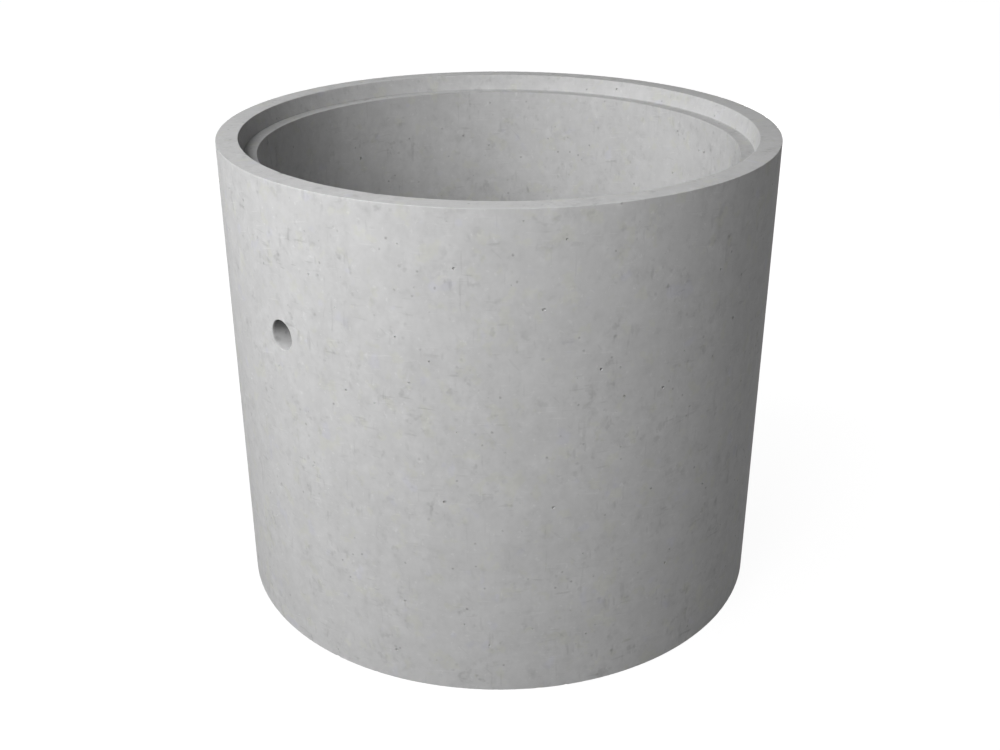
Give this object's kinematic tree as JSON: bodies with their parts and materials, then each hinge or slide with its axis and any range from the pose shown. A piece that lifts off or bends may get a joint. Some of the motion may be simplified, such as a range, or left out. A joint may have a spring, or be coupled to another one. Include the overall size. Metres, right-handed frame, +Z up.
{
  "type": "concrete culvert ring",
  "caption": "Round precast concrete ring with a stepped seat inside its upper end and lifting holes through its wall, stacked or laid end to end to line a shaft or culvert.",
  "frame": {"origin": "centre of the flat lower end, where the ring stands on the floor", "axes": "+Z up along the bore, the lifting holes on the X axis"},
  "size_m": [1.16, 1.16, 1],
  "materials": {
    "concrete": "matte"
  },
  "bodies": {
    "root": {"ring": "concrete"}
  },
  "joints": []
}
